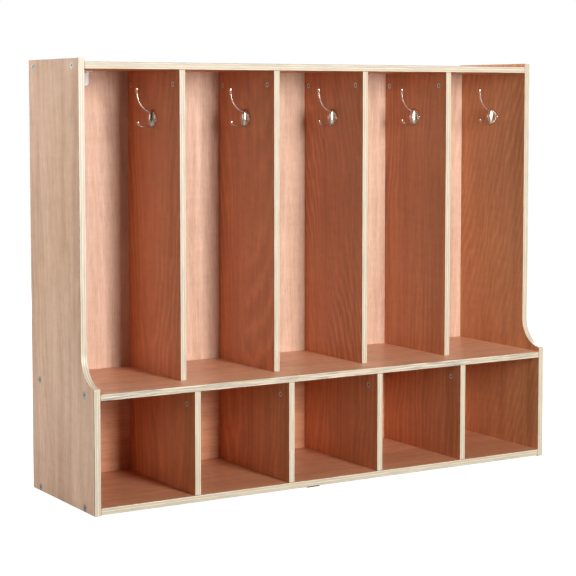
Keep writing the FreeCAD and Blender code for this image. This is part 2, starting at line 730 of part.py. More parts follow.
def master_bolt():
    """Connector bolt: outer face of the flat head at Z = 0, shank along +Z."""
    head = cylinder("bolt_head_form", "bolt_head", "bolt_head_height")
    shank = cylinder("bolt_shank_form", "bolt_shank", "bolt_length")
    socket = doc.addObject("Part::Prism", "bolt_socket")
    socket.Polygon = 6
    socket.setExpression("Circumradius", bound("socket_radius"))
    socket.setExpression("Height", bound("bolt_head_height"))
    return cut("bolt_master", fuse("bolt_form", [head, shank]), socket)


def master_nut():
    """Barrel nut: upright, lower end at Z = 0, threaded hole along X through its middle."""
    barrel = cylinder("nut_barrel", "nut_diameter", "nut_length")
    hole = cylinder("nut_hole", "bolt_shank", "nut_diameter")
    hole.Placement = Placement(Vector(), Rotation(Vector(0, 1, 0), 90))
    place(hole, "-nut_diameter / 2", "0", "nut_length / 2")
    slot = doc.addObject("Part::Box", "nut_slot")
    slot.setExpression("Length", bound("nut_diameter"))
    slot.setExpression("Width", bound("nut_diameter / 8"))
    slot.setExpression("Height", bound("nut_diameter / 8"))
    place(slot, "-nut_diameter / 2", "-nut_diameter / 16", "0")
    return cut("nut_master", cut("nut_bored", barrel, hole), slot)


def master_cam():
    """Cam lock: face at Z = 0, body along +Z, gripping slot open along -Y.

    The face has a cross recess, and the slot takes the cam bolt's head.
    """
    drum = cylinder("cam_drum", "cam_diameter", "cam_depth")
    slot = doc.addObject("Part::Box", "cam_slot")
    slot.setExpression("Length", bound("cam_bolt"))
    slot.setExpression("Width", bound("cam_diameter"))
    slot.setExpression("Height", bound("cam_bolt"))
    place(slot, "-cam_bolt / 2", "-cam_diameter + cam_bolt / 2", "board / 2 - cam_bolt / 2")
    bars = cross_bars("cam_cross", "cam_bolt", "cam_depth / 6", "0")
    eye = cylinder("cam_eye", "cam_diameter / 4", "cam_depth / 5")
    return cut("cam_master", cut("cam_slotted", drum, slot), fuse("cam_cross", bars + [eye]))


def master_cam_bolt():
    """Cam bolt: shoulder at Z = 0, thread along +Z, and the head that the cam grips along -Z."""
    thread = cylinder("cam_bolt_screw", "cam_bolt_thread", "cam_bolt_grip")
    reach = "cam_drop - cam_diameter / 2"
    smooth = cylinder("cam_bolt_smooth", "cam_bolt", reach, f"-({reach})")
    neck = cylinder("cam_bolt_waist", "cam_bolt_neck", "cam_diameter / 2", "-cam_drop")
    head = cylinder("cam_bolt_head", "cam_bolt - fit_gap", "cam_bolt_neck / 2", "-cam_drop")
    return fuse("cam_bolt_master", [thread, smooth, neck, head])


def master_dowel():
    """Wooden dowel along +Z."""
    dowel = cylinder("dowel_form", "dowel_diameter", "dowel_length")
    rounded = doc.addObject("Part::Chamfer", "dowel_master")
    doc.recompute()
    rounded.Base = dowel
    rims = [number for number, edge in enumerate(dowel.Shape.Edges, start=1) if edge.Closed]
    bevel = value("dowel_diameter") / 8
    rounded.Edges = [(number, bevel, bevel) for number in rims]
    return rounded


def master_screw(name, through):
    """Pan-head wood screw: underside of the head at Z = 0, shank along +Z, cross recess."""
    head = cylinder(name + "_head", "screw_head", "screw_head_height", "-screw_head_height")
    shank = cylinder(name + "_shank", "screw_shank", f"{through} + screw_bite")
    bars = cross_bars(name + "_bar", "screw_head / 2", "screw_head_height / 2", "-screw_head_height")
    recess = fuse(name + "_recess", bars)
    return cut(name, fuse(name + "_form", [head, shank]), recess)


# Turns that send a master's +Z along the named direction.
ALONG_X = Rotation(Vector(0, 1, 0), 90)
AGAINST_X = Rotation(Vector(0, 1, 0), -90)
AGAINST_Y = Rotation(Vector(1, 0, 0), 90)
ALONG_Z = Rotation()


def group(name, master, turn, places):
    """One node of identical separate pieces."""
    copies = []
    for x, y, z in places:
        copy = doc.addObject("App::Link", master.Name + "_copy")
        copy.LinkedObject = master
        copy.Placement = Placement(Vector(), turn)
        place(copy, x, y, z)
        copies.append(copy)
    compound = doc.addObject("Part::Compound", name)
    compound.Label = name
    compound.Links = copies
    subparts.append(compound)


def make_connectors():
    """Connector bolts and barrel nuts of both sides."""
    bolt = master_bolt()
    nut = master_nut()
    sides = [
        ("left", "left_edge", ALONG_X, "+"),
        ("right", "-left_edge", AGAINST_X, "-"),
    ]
    for side, face, turn, toward in sides:
        x = f"{face} {toward} (board + nut_inset)"
        bolts = []
        nuts = []
        for depth, height in bolt_places():
            y = f"front_edge + {depth}"
            bolts.append((face, y, height))
            nuts.append((x, y, f"{height} - nut_length / 2"))
        group(f"{side}_connector_bolts", bolt, turn, bolts)
        group(f"{side}_barrel_nuts", nut, ALONG_Z, nuts)


def make_cams():
    """Cam locks and their bolts in the upper and the lower dividers."""
    cam = master_cam()
    cam_bolt = master_cam_bolt()
    # The cam's face looks left and its slot opens upward, to the bolt.
    turn = Rotation(Vector(0, 1, 0), 90).multiply(Rotation(Vector(0, 0, 1), -90))
    levels = [
        ("upper", UPPER_CAMS_Y, "top_under"),
        ("lower", LOWER_CAMS_Y, "bench_under"),
    ]
    for level, depths, panel in levels:
        faces = []
        ends = []
        for index in DIVIDERS:
            for depth in depths:
                y = f"front_edge + {depth}"
                faces.append((hook_face(index), y, f"{panel} - cam_drop"))
                ends.append((f"{hook_face(index)} + board / 2", y, panel))
        group(f"{level}_cam_locks", cam, turn, faces)
        group(f"{level}_cam_bolts", cam_bolt, ALONG_Z, ends)


def make_dowels():
    """Wooden dowels at the ends of the dividers."""
    dowel = master_dowel()

    def row(depths, z):
        middles = [f"{hook_face(index)} + board / 2" for index in DIVIDERS]
        return [(x, f"front_edge + {depth}", z) for x in middles for depth in depths]

    group("upper_divider_dowels", dowel, ALONG_Z, row(UPPER_DOWELS_Y, "bench_height - dowel_sink"))
    feet = row(LOWER_DOWELS_Y, "base_top - dowel_sink")
    heads = row(BENCH_DOWELS_Y, "bench_under - dowel_stand")
    group("lower_divider_dowels", dowel, ALONG_Z, feet + heads)


def make_screws():
    """Wood screws of the back panels, the angle brackets and the coat hooks."""
    back = master_screw("back_screw_master", "back_board")
    y = "front_edge + inner_depth + back_board"
    for level, places in (("upper", upper_back_screws()), ("lower", lower_back_screws())):
        heads = [(f"left_edge + board + {x}", y, z) for x, z in places]
        group(f"{level}_back_screws", back, AGAINST_Y, heads)
    bracket = master_screw("bracket_screw_master", "bracket_plate")
    z = "top_under - bracket_plate"
    y = "front_edge + setback"
    feet = [(f"left_edge + board + {x}", f"{y} + {depth}", z) for x, depth in bracket_screw_places()]
    group("bracket_screws", bracket, ALONG_Z, feet)
    hook = master_screw("hook_screw_master", "hook_seat")
    for index in range(1, BAYS + 1):
        places = [
            (f"{hook_face(index)} - hook_seat", f"front_edge + {y}", z)
            for y, z in hook_screw_places("0", "0")
        ]
        group(f"hook_screws_{index}", hook, ALONG_X, places)


def make_glides():
    """Thin glides that carry the middle of the bottom panel."""
    glide = doc.addObject("Part::Box", "glide_master")
    glide.setExpression("Length", bound("glide_length"))
    glide.setExpression("Width", bound("glide_width"))
    glide.setExpression("Height", bound("floor_gap"))
    x = f"{GLIDE_X} - glide_length / 2"
    places = [(x, f"front_edge + {depth} - glide_width / 2", "0") for depth in GLIDES_Y]
    group("floor_glides", glide, ALONG_Z, places)


# Assembly

def build():
    """Make every sub-part."""
    fill_sheet()
    make_side_panels()
    make_top_panel()
    make_bench_panel()
    make_bottom_panel()
    for index in DIVIDERS:
        make_upper_divider(index)
        make_lower_divider(index)
    make_back_panels()
    for index in range(1, BAYS + 1):
        make_coat_hook(index, hook_face(index))
    for side, middle in zip(("left", "right"), bracket_middles()):
        make_bracket(f"{side}_wall_bracket", middle)
    make_connectors()
    make_cams()
    make_dowels()
    make_screws()
    make_glides()
    doc.recompute()


def check():
    """Stop on any failed object, and on any empty or invalid shape."""
    for item in doc.Objects:
        if "Invalid" in item.State or "Error" in item.State:
            raise RuntimeError(f"{item.Name} failed: {item.State}")
    for part in subparts:
        shape = part.Shape
        if shape.isNull() or not shape.isValid() or not shape.Solids:
            raise RuntimeError(f"{part.Label} has no valid solid")


def export():
    """Write one STEP file for each sub-part."""
    os.makedirs("parts", exist_ok=True)
    for part in subparts:
        part.Shape.exportStep(os.path.join("parts", part.Label + ".step"))


build()
check()
export()
print(len(subparts), "sub-parts written")
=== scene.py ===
"""School coat locker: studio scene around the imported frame, in metres.

The boards, back panels and fittings are the frame's own nodes with procedural materials.  The coat
hooks are replaced by finer ones built here.
"""
import math

import bmesh
import bpy
from mathutils import Matrix, Vector


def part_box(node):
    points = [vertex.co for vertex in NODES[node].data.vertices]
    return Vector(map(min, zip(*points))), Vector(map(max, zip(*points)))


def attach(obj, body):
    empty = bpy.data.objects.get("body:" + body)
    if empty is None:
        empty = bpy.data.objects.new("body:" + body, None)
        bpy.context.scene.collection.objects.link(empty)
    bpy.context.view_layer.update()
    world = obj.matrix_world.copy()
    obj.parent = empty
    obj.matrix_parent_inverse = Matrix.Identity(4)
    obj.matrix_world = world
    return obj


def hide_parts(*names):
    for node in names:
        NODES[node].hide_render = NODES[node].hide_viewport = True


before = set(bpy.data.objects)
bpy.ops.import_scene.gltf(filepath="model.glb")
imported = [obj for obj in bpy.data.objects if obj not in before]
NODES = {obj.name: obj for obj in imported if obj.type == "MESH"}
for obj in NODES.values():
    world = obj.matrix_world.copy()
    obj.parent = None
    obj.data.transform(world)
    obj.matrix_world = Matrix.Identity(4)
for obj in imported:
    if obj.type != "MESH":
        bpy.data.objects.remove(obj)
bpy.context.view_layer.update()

MM = 0.001
BODY = "root"
AXES = "XYZ"
FRONT_AXIS = 1

# Strength of the surround on the object; the camera sees it white
FILL = 0.02

# Camera, low and in front of the left end
CAMERA_PLACE = Vector((-2.1057, -3.4154, 0.8789))
CAMERA_TURN = math.radians(31.291)
CAMERA_FALL = math.radians(4.385)
CAMERA_LENS = 107.18
CAMERA_SHIFT = -0.1

# Plywood: veneer, front border darkened partly by lacquer stain and partly by painted shade, number of
# plies and how far they wander
VENEER = 0.45 * MM
STAIN_AND_SHADE_BORDER = 1.6 * MM
PLIES = 5
DRIFT = 9.0 * MM

# Growth rings: spacing, slow sway and quicker tremble
RING_STEP = 18.0 * MM
RING_SWAY = 90.0 * MM
RING_TREMBLE = 26.0 * MM

# Linear colours of the bare plies and of the glue under the veneer; the glue colour also darkens the
# front border, partly as lacquer stain and partly as painted shade
PLY_BRIGHT = (0.690, 0.595, 0.455, 1.0)
PLY_GREY = (0.530, 0.470, 0.360, 1.0)
PLY_GLUE = (0.300, 0.235, 0.160, 1.0)
PLY_STREAK = (0.250, 0.245, 0.220, 1.0)
PLY_WARM = (0.570, 0.450, 0.285, 1.0)
GLUE_STAIN_AND_SHADE = (0.110, 0.050, 0.025, 1.0)

# Coat hooks: heights are from the middle of the plate, reaches from the board's face
HOOK_SPINE = 42.0 * MM
HOOK_SPINE_WIDTH = 12.0 * MM
HOOK_SPINE_RISE = 12.5 * MM
HOOK_PLATE_HEIGHT = 37.0 * MM
HOOK_PLATE_RISE = 2.6 * MM
LEAF_POWER = 1.3
PRONG_ROOT_RADIUS = 3.4 * MM
PRONG_WAIST_RADIUS = 2.1 * MM
PRONG_BLEND = 6.0 * MM
PRONG_ROOT_REACH = 4.0 * MM
TIP_STEP = 0.3 * MM
UPPER_REACH = 40.0 * MM
UPPER_CURVE = 48.0 * MM
UPPER_CURVE_HEIGHT = 60.0 * MM
UPPER_CURVE_START = -math.radians(75.0)
UPPER_RUN = 9.0 * MM
UPPER_TIP_RADIUS = 3.3 * MM
LOWER_RUN = 23.0 * MM
LOWER_DROP = 18.5 * MM
LOWER_CURVE = 16.0 * MM
LOWER_CURVE_END = -math.radians(12.0)
LOWER_TIP_RADIUS = 3.2 * MM


# Node trees

class Tree:
    """A material's node tree, with short ways to add nodes."""

    def __init__(self, name):
        self.material = bpy.data.materials.new(name)
        self.material.use_nodes = True
        self.nodes = self.material.node_tree.nodes
        self.links = self.material.node_tree.links
        self.shader = self.nodes["Principled BSDF"]

    def put(self, socket, value):
        """Feed a socket with another socket or with a constant."""
        if isinstance(value, bpy.types.NodeSocket):
            self.links.new(value, socket)
        else:
            socket.default_value = value

    def node(self, kind, inputs=None, **settings):
        """New node with its settings and inputs."""
        node = self.nodes.new("ShaderNode" + kind)
        for name, value in settings.items():
            setattr(node, name, value)
        for key, value in (inputs or {}).items():
            self.put(node.inputs[key], value)
        return node

    def math(self, operation, first, second=0.0, third=0.0):
        """Result of one arithmetic step."""
        node = self.node("Math", {0: first, 1: second, 2: third}, operation=operation)
        return node.outputs[0]

    def fit(self, value, low, high, out_low=0.0, out_high=1.0):
        """Value mapped from one range to another and clamped."""
        inputs = {"Value": value, "From Min": low, "From Max": high}
        inputs["To Min"] = out_low
        inputs["To Max"] = out_high
        return self.node("MapRange", inputs).outputs["Result"]

    def mix(self, factor, first, second, blend="MIX"):
        """Two colours mixed."""
        node = self.node("Mix", data_type="RGBA", blend_type=blend)
        self.put(node.inputs["Factor"], factor)
        self.put(node.inputs["A"], first)
        self.put(node.inputs["B"], second)
        return node.outputs["Result"]

    def place(self):
        """Position in the locker's own frame, which stays with the object."""
        return self.node("TexCoord").outputs["Object"]

    def stretch(self, vector, scale, offset=(0.0, 0.0, 0.0)):
        """Vector scaled, then moved."""
        scaled = self.node("VectorMath", {0: vector, 1: scale}, operation="MULTIPLY").outputs[0]
        return self.node("VectorMath", {0: scaled, 1: offset}, operation="ADD").outputs[0]

    def noise(self, vector, scale, detail=2.0, roughness=0.5, distortion=0.0):
        """Noise value from 0 to 1."""
        inputs = {"Vector": vector, "Scale": scale, "Detail": detail, "Roughness": roughness}
        inputs["Distortion"] = distortion
        return self.node("TexNoise", inputs).outputs[0]

    def bump(self, height, strength, distance):
        """Bumped normal into the shader."""
        node = self.node("Bump", {"Height": height, "Strength": strength, "Distance": distance})
        self.links.new(node.outputs["Normal"], self.shader.inputs["Normal"])

    def finish(self, colour, roughness, **constants):
        """Feed the shader and give back the material."""
        self.put(self.shader.inputs["Base Color"], colour)
        self.put(self.shader.inputs["Roughness"], roughness)
        for name, value in constants.items():
            self.shader.inputs[name.replace("_", " ")].default_value = value
        return self.material


def rgb(red, green, blue):
    """Colour with full alpha, from linear values."""
    return (red, green, blue, 1.0)


# Plywood

class Board:
    """How one board lies, and the cut of its veneer.

    thick and grain are the board's thickness axis and its grain axis.  The growth rings nest round
    a line at the share heart of the board's width, depth under the face, and taper along the grain.
    far is the colour of the face on the high side of the thickness axis, where it differs.
    """

    def __init__(self, node, thick, grain, colour, heart=0.5, depth=0.05, taper=0.10, ring=0.4,
                 streaks=0.35, far=None, roughness=0.39):
        self.node = node
        self.thick = AXES.index(thick)
        self.grain = AXES.index(grain)
        self.across = 3 - self.thick - self.grain
        self.low, self.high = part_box(node)
        width = self.high[self.across] - self.low[self.across]
        self.heart = self.low[self.across] + heart * width
        self.seed = 0.01 * (sum(ord(letter) for letter in node) % 997)
        self.colour = colour
        self.depth = depth
        self.taper = taper
        self.ring = ring
        self.streaks = streaks
        self.far = far
        self.roughness = roughness


def tint(colour, red, green, blue):
    """Colour with each channel scaled."""
    return rgb(colour[0] * red, colour[1] * green, colour[2] * blue)


def growth_rings(tree, across, along, flat, board):
    """Ring pattern from -1 to 1: nested arches near the heart and long lines beside it."""
    side = tree.math("SUBTRACT", across, board.heart)
    span = tree.math("MULTIPLY_ADD", side, side, board.depth ** 2)
    reach = tree.math("SQRT", span)
    sway = tree.noise(tree.stretch(flat, (7.0, 2.2, 1.0), (board.seed * 5.0, 0.0, 0.0)), 1.0, 3.0, 0.55)
    tremble = tree.noise(tree.stretch(flat, (30.0, 4.0, 1.0)), 1.0, 4.0, 0.6)
    reach = tree.math("MULTIPLY_ADD", along, -board.taper, reach)
    reach = tree.math("MULTIPLY_ADD", sway, RING_SWAY, reach)
    reach = tree.math("MULTIPLY_ADD", tremble, RING_TREMBLE, reach)
    wave = tree.math("SINE", tree.math("MULTIPLY", reach, math.tau / RING_STEP))
    late = tree.fit(wave, -1.0, 1.0)
    stripe = tree.math("MULTIPLY_ADD", tree.math("POWER", late, 2.0), 2.0, -0.75)
    patch = tree.noise(tree.stretch(flat, (9.0, 2.5, 1.0), (0.0, board.seed * 9.0, 0.0)), 1.0, 2.0)
    return tree.math("MULTIPLY", stripe, tree.fit(patch, 0.36, 0.66, 0.15, 1.5))


def veneer(tree, across, along, thick, board):
    """Colour and relief of a sliced red veneer."""
    flat = tree.node("CombineXYZ", {0: across, 1: along, 2: thick}).outputs[0]
    shift = (board.seed * 31.0, board.seed * 17.0, board.seed * 3.0)
    rings = growth_rings(tree, across, along, flat, board)
    ribbon = tree.noise(tree.stretch(flat, (38.0, 1.6, 1.0), shift), 1.0, 3.0, 0.6)
    strand = tree.noise(tree.stretch(flat, (330.0, 16.0, 1.0), shift), 1.0, 4.0, 0.7, 0.3)
    mottle = tree.noise(tree.stretch(flat, (24.0, 70.0, 1.0), shift), 1.0, 3.0, 0.6)
    cloud = tree.noise(tree.stretch(flat, (6.0, 3.0, 1.0), shift), 1.0, 2.0)
    tone = tree.math("MULTIPLY_ADD", rings, 0.15 * board.ring, -0.715)
    tone = tree.math("MULTIPLY_ADD", ribbon, 0.85, tone)
    tone = tree.math("MULTIPLY_ADD", strand, 0.70, tone)
    tone = tree.math("MULTIPLY_ADD", mottle, 0.28, tone)
    tone = tree.math("MULTIPLY_ADD", cloud, 0.60, tone)
    dark = tint(board.colour, 0.66, 0.58, 0.52)
    light = tint(board.colour, 1.34, 1.42, 1.48)
    colour = tree.mix(tree.fit(tone, 0.0, 1.0), dark, light)

    # Open pores: short dark dashes along the grain.
    pore = tree.noise(tree.stretch(flat, (700.0, 40.0, 1.0), shift), 1.0, 1.0)
    pore = tree.fit(pore, 0.60, 0.72)
    colour = tree.mix(tree.math("MULTIPLY", pore, 0.30), colour, tint(board.colour, 0.45, 0.34, 0.28))
    relief = tree.math("MULTIPLY_ADD", pore, -1.0, tree.math("MULTIPLY", strand, 0.5))
    return colour, relief


def ply_edge(tree, thick, along, across, board):
    """Colour of a sawn plywood edge: bright plies, greyer crossed ones, thin glue lines."""
    low = board.low[board.thick]
    high = board.high[board.thick]
    length = tree.math("ADD", along, across)
    turn = tree.math("SUBTRACT", along, across)
    edgewise = tree.node("CombineXYZ", {0: thick, 1: length, 2: turn}).outputs[0]
    shift = (board.seed * 11.0, board.seed, 0.0)
    drift = tree.noise(tree.stretch(edgewise, (60.0, 7.0, 7.0), shift), 1.0, 3.0)
    drift = tree.math("MULTIPLY", tree.math("SUBTRACT", drift, 0.5), board.streaks * DRIFT)
    share = tree.fit(tree.math("ADD", thick, drift), low, high)

    ramp = tree.node("ValToRGB", {"Fac": share})
    stops = ramp.color_ramp.elements
    stops[0].position = 0.0
    stops[0].color = PLY_BRIGHT
    stops[1].position = 1.0
    stops[1].color = PLY_BRIGHT
    for ply in range(1, PLIES):
        before = PLY_GREY if ply % 2 == 0 else PLY_BRIGHT
        after = PLY_BRIGHT if ply % 2 == 0 else PLY_GREY
        for offset, colour in ((-0.025, before), (0.0, PLY_GLUE), (0.025, after)):
            stops.new(ply / PLIES + offset).color = colour
    colour = ramp.outputs["Color"]

    fibre = tree.noise(tree.stretch(edgewise, (420.0, 11.0, 11.0), shift), 1.0, 3.0, 0.6)
    fibre = tree.math("MULTIPLY", tree.fit(fibre, 0.46, 0.62), board.streaks)
    colour = tree.mix(fibre, colour, PLY_STREAK)
    patch = tree.noise(tree.stretch(edgewise, (30.0, 9.0, 9.0), shift), 1.0, 2.0)
    return tree.mix(tree.fit(patch, 0.35, 0.75, 0.0, 0.35), colour, PLY_WARM)


def plywood(board):
    """Lacquered plywood: red veneer on the broad faces, bare plies on the edges."""
    tree = Tree("plywood_" + board.node)
    parts = tree.node("SeparateXYZ", {0: tree.place()}).outputs
    thick = parts[board.thick]
    along = parts[board.grain]
    across = parts[board.across]
    face, relief = veneer(tree, across, along, thick, board)
    edge = ply_edge(tree, thick, along, across, board)

    from_low = tree.math("SUBTRACT", thick, board.low[board.thick])
    from_high = tree.math("SUBTRACT", board.high[board.thick], thick)
    inside = tree.math("MINIMUM", from_low, from_high)
    glue = tree.fit(inside, 0.5 * VENEER, VENEER)
    bare = tree.fit(inside, 1.3 * VENEER, 1.8 * VENEER)
    if board.far:
        middle = (board.low[board.thick] + board.high[board.thick]) / 2
        beyond = tree.math("GREATER_THAN", thick, middle)
        ratio = [far / near for far, near in zip(board.far, board.colour)]
        face = tree.mix(beyond, face, rgb(*ratio), "MULTIPLY")
    # Front border of the broad faces: darker within a couple of millimetres of the front edge, partly
    # lacquer stain and partly painted shade of the eased edge.
    if board.thick != FRONT_AXIS:
        front = tree.math("SUBTRACT", parts[FRONT_AXIS], board.low[FRONT_AXIS])
        face = tree.mix(tree.fit(front, 0.5 * STAIN_AND_SHADE_BORDER, 1.5 * STAIN_AND_SHADE_BORDER, 0.55, 0.0), face, GLUE_STAIN_AND_SHADE)
    colour = tree.mix(glue, face, GLUE_STAIN_AND_SHADE)
    colour = tree.mix(bare, colour, edge)

    cloudy = tree.noise(tree.place(), 30.0, 3.0)
    roughness = tree.fit(cloudy, 0.3, 0.7, board.roughness - 0.05, board.roughness + 0.05)
    tree.bump(relief, 0.25, 0.12 * MM)
    return tree.finish(colour, roughness, Specular_IOR_Level=0.45)


def finish_boards():
    """Give every board its own cut of veneer."""
    tan = (0.600, 0.387, 0.262)
    rose = (0.615, 0.395, 0.280)
    red = (0.610, 0.238, 0.105)
    boards = [
        Board("left_side_panel", "X", "Z", tan, 0.35, 0.10, ring=0.4, far=red),
        Board("right_side_panel", "X", "Z", (0.600, 0.265, 0.115), 1.3, 0.09, 0.30, ring=0.7, far=tan),
        Board("top_panel", "Z", "X", red, ring=0.5, roughness=0.55),
        Board("bench_panel", "Z", "X", (0.650, 0.335, 0.200), ring=0.5, streaks=1.0),
        Board("bottom_panel", "Z", "X", (0.550, 0.245, 0.130), ring=0.5),
        Board("upper_back_panel", "Y", "Z", rose, ring=0.3, depth=0.2, far=tan, roughness=0.55),
        Board("lower_back_panel", "Y", "X", (0.605, 0.265, 0.135), ring=0.3, far=tan, roughness=0.55),
    ]
    figures = [
        (0.55, 0.05, 0.10, 0.9),
        (0.30, 0.12, 0.15, 0.7),
        (-0.20, 0.06, 0.22, 1.0),
        (2.20, 0.05, 0.01, 1.0),
    ]
    for index, (heart, depth, taper, ring) in enumerate(figures, start=1):
        boards.append(Board(f"upper_divider_{index}", "X", "Z", red, heart, depth, taper, ring))
        boards.append(Board(f"lower_divider_{index}", "X", "Z", red, 0.4 * index, 0.08, 0.06, 0.8))
    for board in boards:
        dress(board.node, plywood(board))


# Other materials

def dress(name, material):
    """Put a material on a node in place of what it came with."""
    slots = NODES[name].data.materials
    slots.clear()
    slots.append(material)


def chrome():
    """Bright plating with faint waviness and fingerprints."""
    tree = Tree("bright_chrome")
    place = tree.place()
    smear = tree.noise(place, 90.0, 4.0, 0.6)
    wave = tree.noise(place, 240.0, 2.0)
    tone = tree.mix(smear, rgb(0.60, 0.50, 0.42), rgb(0.76, 0.66, 0.57))
    tree.bump(wave, 0.12, 0.1 * MM)
    return tree.finish(tone, tree.fit(smear, 0.3, 0.75, 0.20, 0.28), Metallic=1.0)


def zinc(name, dark, light):
    """Zinc plating: spangled, duller than chrome, darker in its scratches."""
    tree = Tree(name)
    place = tree.place()
    spangle = tree.node("TexVoronoi", {"Vector": place, "Scale": 900.0}).outputs["Color"]
    spangle = tree.node("RGBToBW", {0: spangle}).outputs[0]
    scratch = tree.noise(tree.stretch(place, (300.0, 300.0, 2600.0)), 1.0, 3.0)
    dim = rgb(dark, dark, 0.96 * dark)
    bright = rgb(light, light, 0.96 * light)
    tone = tree.mix(tree.fit(spangle, 0.0, 1.0), dim, bright)
    tone = tree.mix(tree.fit(scratch, 0.60, 0.80, 0.0, 0.5), tone, rgb(0.30, 0.29, 0.28))
    tree.bump(scratch, 0.15, 0.05 * MM)
    return tree.finish(tone, tree.fit(scratch, 0.3, 0.7, 0.30, 0.46), Metallic=1.0)


def cam_zinc_painted_shade(node):
    """Fresh zinc of the cam locks, with painted shade in the driver's recess and in the gap round each
    cam.
    """
    tree = Tree("zinc_" + node)
    parts = tree.node("SeparateXYZ", {0: tree.place()}).outputs
    low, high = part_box(node)
    radius = (high.z - low.z) / 2
    middle = (low.y + high.y) / 2
    half_span = (high.y - low.y) / 2 - radius
    away = tree.math("ABSOLUTE", tree.math("SUBTRACT", parts[1], middle))
    beside = tree.math("SUBTRACT", away, half_span)
    above = tree.math("SUBTRACT", parts[2], low.z + radius)
    span = tree.math("MULTIPLY_ADD", beside, beside, tree.math("MULTIPLY", above, above))
    share = tree.math("DIVIDE", tree.math("SQRT", span), radius)
    scratch = tree.noise(tree.stretch(tree.place(), (300.0, 300.0, 2600.0)), 1.0, 3.0)
    tone = tree.mix(scratch, rgb(0.72, 0.71, 0.68), rgb(0.92, 0.91, 0.88))
    # Painted shade in the driver's recess, near each cam's centre.
    tone = tree.mix(tree.fit(share, 0.30, 0.46, 1.0, 0.0), tone, rgb(0.05, 0.03, 0.02))
    # Painted shade in the gap round each cam, near its rim.
    tone = tree.mix(tree.fit(share, 0.86, 0.93), tone, rgb(0.03, 0.015, 0.01))
    tree.bump(scratch, 0.15, 0.05 * MM)
    return tree.finish(tone, tree.fit(scratch, 0.3, 0.7, 0.40, 0.55), Metallic=0.6)


def white_enamel():
    """Baked white enamel with a slight orange peel."""
    tree = Tree("white_enamel")
    place = tree.place()
    peel = tree.noise(place, 1400.0, 2.0)
    dust = tree.noise(place, 60.0, 4.0)
    tone = tree.mix(tree.fit(dust, 0.45, 0.8, 0.0, 0.25), rgb(0.84, 0.84, 0.83), rgb(0.66, 0.65, 0.62))
    tree.bump(peel, 0.2, 0.05 * MM)
    return tree.finish(tone, tree.fit(dust, 0.3, 0.7, 0.26, 0.36))


def turned_wood():
    """Pale dowel wood with fine rings along its length."""
    tree = Tree("dowel_wood")
    strand = tree.noise(tree.stretch(tree.place(), (900.0, 900.0, 30.0)), 1.0, 3.0)
    tone = tree.mix(strand, rgb(0.50, 0.34, 0.19), rgb(0.70, 0.53, 0.34))
    return tree.finish(tone, tree.fit(strand, 0.3, 0.7, 0.55, 0.70))


def dark_felt():
    """Dark felt of the floor glides."""
    tree = Tree("dark_felt")
    fuzz = tree.noise(tree.place(), 2400.0, 4.0, 0.7)
    tone = tree.mix(fuzz, rgb(0.018, 0.017, 0.016), rgb(0.06, 0.055, 0.05))
    tree.bump(fuzz, 0.5, 0.2 * MM)
    return tree.finish(tone, tree.fit(fuzz, 0.3, 0.7, 0.85, 0.98), Sheen_Weight=0.3)


def finish_fittings():
    """Materials of the small metal, wood and felt parts."""
    zinc_plating = zinc("zinc_plating", 0.44, 0.60)
    bright_zinc = zinc("bright_zinc", 0.72, 0.90)
    bright = chrome()
    enamel = white_enamel()
    wood = turned_wood()
    for name in NODES:
        if name.startswith("hook_screws"):
            dress(name, bright_zinc)
        elif name.endswith("_locks"):
            dress(name, cam_zinc_painted_shade(name))
        elif name.endswith(("_bolts", "_nuts", "_screws")):
            dress(name, zinc_plating)
        elif name.endswith("_dowels"):
            dress(name, wood)
        elif name.endswith("_wall_bracket"):
            dress(name, enamel)
    dress("floor_glides", dark_felt())
    return bright


# Coat hooks

def close_loft(form, rings, first, last):
    """Skin a row of rings, with a point at each end."""
    rows = [[form.verts.new(point) for point in ring] for ring in rings]
    count = len(rows[0])
    for lower, upper in zip(rows, rows[1:]):
        for step in range(count):
            after = (step + 1) % count
            form.faces.new((lower[step], lower[after], upper[after], upper[step]))
    for point, row in ((first, rows[0]), (last, rows[-1])):
        tip = form.verts.new(point)
        for step in range(count):
            form.faces.new((tip, row[step], row[(step + 1) % count]))


def leaf(share):
    """Share of a half width or half height that turns an oval into a pointed leaf."""
    return math.copysign(abs(share) ** LEAF_POWER, share)


def add_plate(form, width):
    """Pointed oval plate with a rolled rim and a low crown."""
    profile = [(1.0, 0.0), (0.995, 0.45), (0.97, 0.78), (0.93, 0.90), (0.89, 0.78), (0.83, 0.45)]
    profile += [(0.72, 0.34), (0.55, 0.44), (0.38, 0.68), (0.2, 0.94)]
    steps = 72
    rings = []
    for share, rise in profile:
        ring = []
        for step in range(steps):
            turn = math.tau * step / steps
            across = leaf(math.cos(turn)) * width / 2
            height = leaf(math.sin(turn)) * HOOK_PLATE_HEIGHT / 2
            ring.append(Vector((-rise * HOOK_PLATE_RISE, across * share, height * share)))
        rings.append(ring)
    close_loft(form, rings, Vector((0.0, 0.0, 0.0)), Vector((-HOOK_PLATE_RISE, 0.0, 0.0)))


def add_spine(form):
    """Upright ridge, fullest at its middle and flat against the board."""
    rings = []
    half = HOOK_SPINE / 2
    for step in range(1, 24):
        lean = math.pi * (step / 24 - 0.5)
        fullness = math.cos(lean) ** 0.8
        ring = []
        for part in range(17):
            turn = math.pi * (part / 16 - 0.5)
            rise = HOOK_SPINE_RISE * fullness * math.cos(turn)
            across = HOOK_SPINE_WIDTH / 2 * fullness * math.sin(turn)
            ring.append(Vector((-rise, across, half * math.sin(lean))))
        rings.append(ring)
    close_loft(form, rings, Vector((0.0, 0.0, -half)), Vector((0.0, 0.0, half)))


